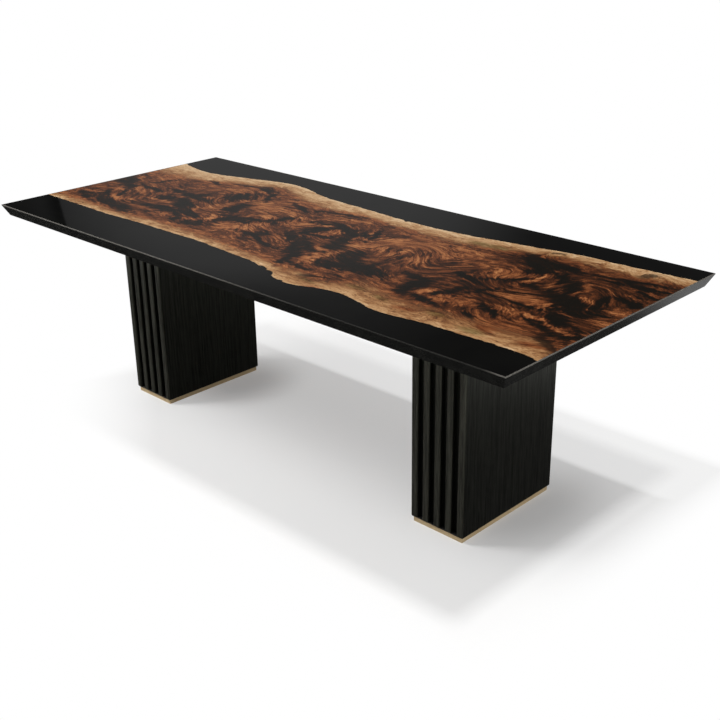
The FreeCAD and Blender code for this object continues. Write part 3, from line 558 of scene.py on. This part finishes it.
def brushed_brass_finish():
    finish, tree, shader, spot = new_finish("plinth_brass")
    brushing = cloud(tree, spot, (14.0, 14.0, 1500.0), 4.0, 0.6).outputs["Fac"]
    tarnish = cloud(tree, spot, (9.0, 9.0, 30.0), 4.0).outputs["Fac"]
    base = colour_steps(tree, tarnish, ((0.30, (206, 181, 141)), (0.70, (226, 202, 160))))
    feed(tree, shader.inputs["Base Color"], base)
    feed(tree, shader.inputs["Roughness"], ease(tree, brushing, 0.25, 0.75, 0.44, 0.60))
    shader.inputs["Metallic"].default_value = 0.25
    add_relief(tree, shader, brushing, 0.15, 0.0002)
    return finish


dress(brushed_brass_finish(), "left_plinth", "right_plinth")

# Foot pads
# Moulded black nylon glides that swivel on the stems,
# with the fine matt grain of the mould on them.


def nylon_finish():
    finish, tree, shader, spot = new_finish("foot_nylon")
    grain = cloud(tree, spot, (1400.0, 1400.0, 1400.0), 2.0).outputs["Fac"]
    flow = cloud(tree, spot, (60.0, 60.0, 60.0), 3.0).outputs["Fac"]
    base = colour_steps(tree, flow, ((0.30, (24, 24, 25)), (0.70, (36, 36, 36))))
    feed(tree, shader.inputs["Base Color"], base)
    feed(tree, shader.inputs["Roughness"], ease(tree, grain, 0.3, 0.7, 0.50, 0.64))
    add_relief(tree, shader, grain, 0.2, 0.0002)
    return finish


dress(nylon_finish(), *[f"{side}_foot_pad_{number}" for side in sides for number in foot_numbers])

# Studio floor
# A pale matt floor that keeps the table's shadow, with plain white mixed over it by position: painted shade
# deepens it beside the pedestals, painted light thins it along the back and to the front left, and it fades
# to plain white away from the table. In the polished and the black surfaces it shows a painted dark
# reflection near the table.
floor_reach = 40.0
corner_signs = ((-1, -1), (1, -1), (1, 1), (-1, 1))

# The oblong patch that keeps the shadow: its half sizes, and the shares of them between which it fades
shaded_middle = (0.1, 0.065, 0.0)
shaded_length, shaded_width = 1.0, 0.615
fade_start, fade_end = 0.90, 1.22

# How much plain white shows over the shadow, set by position as painted shade and painted light: beside the
# pedestals, under the table and along its back
deep_shades = ((-600, 110, 220, 260, 0), (880, 70, 200, 330, 0))
deep_white, near_white, back_white = 0.20, 0.42, 0.66
deep_start, deep_end = 0.2, 1.3
back_start, back_end = 0.36, 0.46

# Painted light: the shadow thins out towards the front left
thinning_x, thinning_y = -0.6, -0.8
thinning_start, thinning_end = 0.30, 1.0

# How the floor shows in mirrors: a painted reflection, an oval dark patch that brightens to white
mirrored_middle = (-0.6, 0.0, 0.0)
mirrored_length, mirrored_width = 1.0, 0.65
mirrored_start, mirrored_end = 2.35, 3.0
mirrored_shade = 0.08

floor_mesh = bpy.data.meshes.new("studio_floor")
floor_corners = [(x * floor_reach, y * floor_reach, cad_low.z) for x, y in corner_signs]
floor_mesh.from_pydata(floor_corners, [], [(0, 1, 2, 3)])
floor = bpy.data.objects.new("studio_floor", floor_mesh)
bpy.context.scene.collection.objects.link(floor)


def floor_finish():
    finish, tree, shader, spot = new_finish("studio_floor")
    mottle = cloud(tree, spot, (2.0, 2.0, 2.0), 3.0).outputs["Fac"]
    base = colour_steps(tree, mottle, ((0.30, (247, 247, 247)), (0.70, (250, 250, 249))))
    feed(tree, shader.inputs["Base Color"], base)
    shader.inputs["Roughness"].default_value = 0.7
    shader.inputs["Specular IOR Level"].default_value = 0.1

    # Plain white over the shadow, for the camera, in shares painted by position
    from_shade = vector_sum(tree, "SUBTRACT", spot, shaded_middle)
    outward = vector_sum(tree, "MULTIPLY", from_shade, (1 / shaded_length, 1 / shaded_width, 0.0))
    reaches = add_node(tree, "ShaderNodeSeparateXYZ", {0: vector_sum(tree, "ABSOLUTE", outward)})
    away = sum_of(tree, "MAXIMUM", reaches.outputs["X"], reaches.outputs["Y"])
    axes = add_node(tree, "ShaderNodeSeparateXYZ", {0: spot})
    leftward = sum_of(tree, "MULTIPLY_ADD", axes.outputs["X"], thinning_x,
                      sum_of(tree, "MULTIPLY", axes.outputs["Y"], thinning_y))
    light_path = add_node(tree, "ShaderNodeLightPath")
    mirrored = sum_of(tree, "MAXIMUM", light_path.outputs["Is Glossy Ray"],
                      light_path.outputs["Is Transmission Ray"])
    beside = nearest_patch(tree, spot, deep_shades)
    near = ease(tree, beside, deep_start, deep_end, deep_white, near_white)
    behind = ease(tree, axes.outputs["Y"], back_start, back_end, 0.0, back_white)
    outside = sum_of(tree, "MAXIMUM", ease(tree, away, fade_start, fade_end),
                     ease(tree, leftward, thinning_start, thinning_end))
    paleness = sum_of(tree, "MAXIMUM", sum_of(tree, "MAXIMUM", near, behind), outside)
    in_view = sum_of(tree, "MULTIPLY", light_path.outputs["Is Camera Ray"], paleness)
    share = sum_of(tree, "MAXIMUM", in_view, mirrored)

    # White for the camera, and for mirrors a painted reflection whose glow is dark near the table
    from_shade = vector_sum(tree, "SUBTRACT", spot, mirrored_middle)
    outward = vector_sum(tree, "MULTIPLY", from_shade, (1 / mirrored_length, 1 / mirrored_width, 0.0))
    painted_mirror_tone = ease(tree, length_of(tree, outward), mirrored_start, mirrored_end, mirrored_shade, 1.0)
    tone = sum_of(tree, "MAXIMUM", light_path.outputs["Is Camera Ray"], painted_mirror_tone)
    grey = add_node(tree, "ShaderNodeCombineColor", {0: tone, 1: tone, 2: tone}).outputs[0]
    white = add_node(tree, "ShaderNodeEmission", {"Color": grey, "Strength": 1.0})
    both = add_node(tree, "ShaderNodeMixShader", {0: share, 1: shader.outputs[0], 2: white.outputs[0]})
    feed(tree, tree.nodes["Material Output"].inputs["Surface"], both.outputs[0])
    return finish


floor_mesh.materials.append(floor_finish())

# Studio light
# A soft lamp high at the front left, a small one above the right end that gives the shadow its edge, a weak
# broad one overhead and a low fill at the right, in a pale room with a dark wall for the top to mirror.


def soft_lamp(name, place, aim, size, watts):
    """Hang an oblong lamp and aim it."""
    lamp = bpy.data.lights.new(name, "AREA")
    lamp.shape = "RECTANGLE"
    lamp.size, lamp.size_y = size
    lamp.energy = watts
    lamp_object = bpy.data.objects.new(name, lamp)
    lamp_object.location = place
    lamp_object.rotation_euler = (Vector(aim) - Vector(place)).to_track_quat("-Z", "Y").to_euler()
    bpy.context.scene.collection.objects.link(lamp_object)
    return lamp_object


soft_lamp("key_lamp", (-3.4, -2.6, 4.4), (0.0, 0.0, 0.3), (2.0, 2.0), 222)
overhead_lamp = soft_lamp("overhead_lamp", (0.2, 0.0, 5.6), (0.2, 0.0, 0.0), (6.0, 5.0), 24)
spot_lamp = soft_lamp("spot_lamp", (2.17, -0.32, 7.0), (0.0, 0.0, 0.7), (0.65, 0.65), 212)
fill_lamp = soft_lamp("fill_lamp", (4.0, 0.2, 0.45), (0.85, 0.0, 0.1), (1.4, 0.7), 25)
for lamp in (overhead_lamp, spot_lamp, fill_lamp):
    lamp.visible_glossy = False
fill_lamp.visible_camera = False

world = bpy.data.worlds.new("studio_room")
bpy.context.scene.world = world
world.use_nodes = True
room = world.node_tree
heading = add_node(room, "ShaderNodeTexCoord").outputs["Generated"]


def toward(direction):
    """How far a line of sight points along a direction."""
    sockets = {0: heading, 1: direction}
    return add_node(room, "ShaderNodeVectorMath", sockets, operation="DOT_PRODUCT").outputs["Value"]


# The dark wall behind the left end, lighter in a broad panel low down, with a darker bay beyond it
wall_middle, wall_edge = (-0.65, 0.70, 0.29), (0.72, 0.88)
panel_middle, panel_edge = (-0.7269, 0.6545, 0.2079), (0.9703, 0.9940)
wall_tone, panel_tone = 0.021, 0.132
bay_side = (-0.461, -0.874, 0.154)
wall_share = ease(room, toward(wall_middle), *wall_edge)
wall_light = ease(room, toward(panel_middle), *panel_edge, wall_tone, panel_tone)
into_bay = toward(bay_side)
bay_share = sum_of(room, "ADD", ease(room, into_bay, -0.0025, -0.0005, 1.0, 0.10),
                   ease(room, into_bay, 0.0010, 0.0170, 0.0, 0.50))
height = add_node(room, "ShaderNodeSeparateXYZ", {0: heading}).outputs["Z"]
panel_light = sum_of(room, "MULTIPLY", wall_light, ease(room, height, 0.305, 0.345, 1.1, 0.50))
wall = sum_of(room, "MULTIPLY", panel_light, bay_share)
open_room = colour_steps(room, height, (
    (0.00, (196, 196, 195)), (0.35, (170, 170, 169)), (1.00, (120, 120, 120)),
))
wall_colour = add_node(room, "ShaderNodeCombineColor", {0: wall, 1: wall, 2: wall}).outputs[0]
room_light = mix_colours(room, wall_share, open_room, wall_colour)
light_path = add_node(room, "ShaderNodeLightPath")
plain_white = (1.0, 1.0, 1.0, 1.0)
backdrop = mix_colours(room, light_path.outputs["Is Camera Ray"], room_light, plain_white)
feed(room, room.nodes["Background"].inputs["Color"], backdrop)
room.nodes["Background"].inputs["Strength"].default_value = 1.0

# Camera
# Placed where the photograph was taken from, as fitted to the corners of the top and of the pedestals.
camera_turn = math.radians(44.426)
camera_rise = math.radians(23.242)
camera_roll = math.radians(-0.874)
camera_distance = 3.8495
camera_lens, sensor_width = 55.41, 36.0
camera_target = Vector((0.18898, 0.00192, 0.35641))
camera_back = Vector((math.sin(camera_turn) * math.cos(camera_rise),
                      -math.cos(camera_turn) * math.cos(camera_rise), math.sin(camera_rise)))
level_right = Vector((math.cos(camera_turn), math.sin(camera_turn), 0.0))
level_up = camera_back.cross(level_right)
camera_right = level_right * math.cos(camera_roll) + level_up * math.sin(camera_roll)
camera_up = level_up * math.cos(camera_roll) - level_right * math.sin(camera_roll)
camera = bpy.data.objects.new("camera", bpy.data.cameras.new("camera"))
camera.data.lens = camera_lens
camera.data.sensor_width = sensor_width
camera.matrix_world = Matrix.Translation(camera_target + camera_back * camera_distance) @ Matrix(
    (camera_right, camera_up, camera_back)).transposed().to_4x4()
bpy.context.scene.collection.objects.link(camera)
bpy.context.scene.camera = camera
bpy.context.scene.view_settings.view_transform = "Standard"
